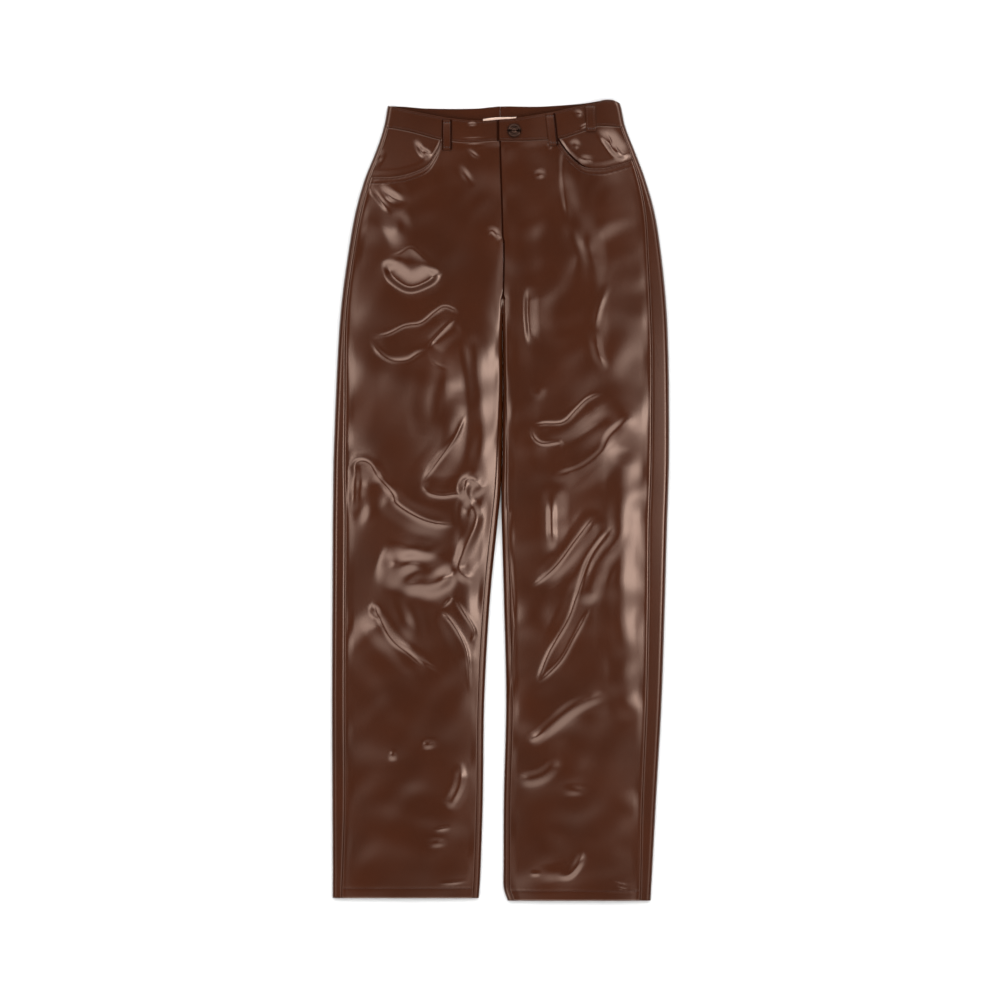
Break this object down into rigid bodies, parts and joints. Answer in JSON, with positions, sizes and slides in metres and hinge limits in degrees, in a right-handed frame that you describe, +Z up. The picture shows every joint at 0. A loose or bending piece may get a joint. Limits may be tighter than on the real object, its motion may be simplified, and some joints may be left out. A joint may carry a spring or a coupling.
{
  "type": "faux leather trousers",
  "caption": "High-waisted straight-leg trousers in glossy brown faux leather, laid flat, with scoop pockets, fly, belt loops and a shank button.",
  "frame": {"origin": "middle of the garment's outline, on the surface it lies on", "axes": "+X to the viewer's right across the garment, +Y from the hems to the waist, +Z up off the surface; the front faces +Z"},
  "size_m": [0.4542, 1.0771, 0.022],
  "materials": {
    "leather": "glossy coated faux leather, dark brown",
    "button": "polished dark metal",
    "tape": "matt woven tape, cream"
  },
  "bodies": {
    "root": {"front_panel_left": "leather", "front_panel_right": "leather", "back_panel_left": "leather", "back_panel_right": "leather", "pocket_facing_left": "leather", "pocket_facing_right": "leather", "waistband_left": "leather", "waistband_right": "leather", "belt_loop_front_left": "leather", "belt_loop_front_right": "leather", "belt_loop_side_right": "leather", "button": "button", "waist_label": "tape"}
  },
  "joints": []
}
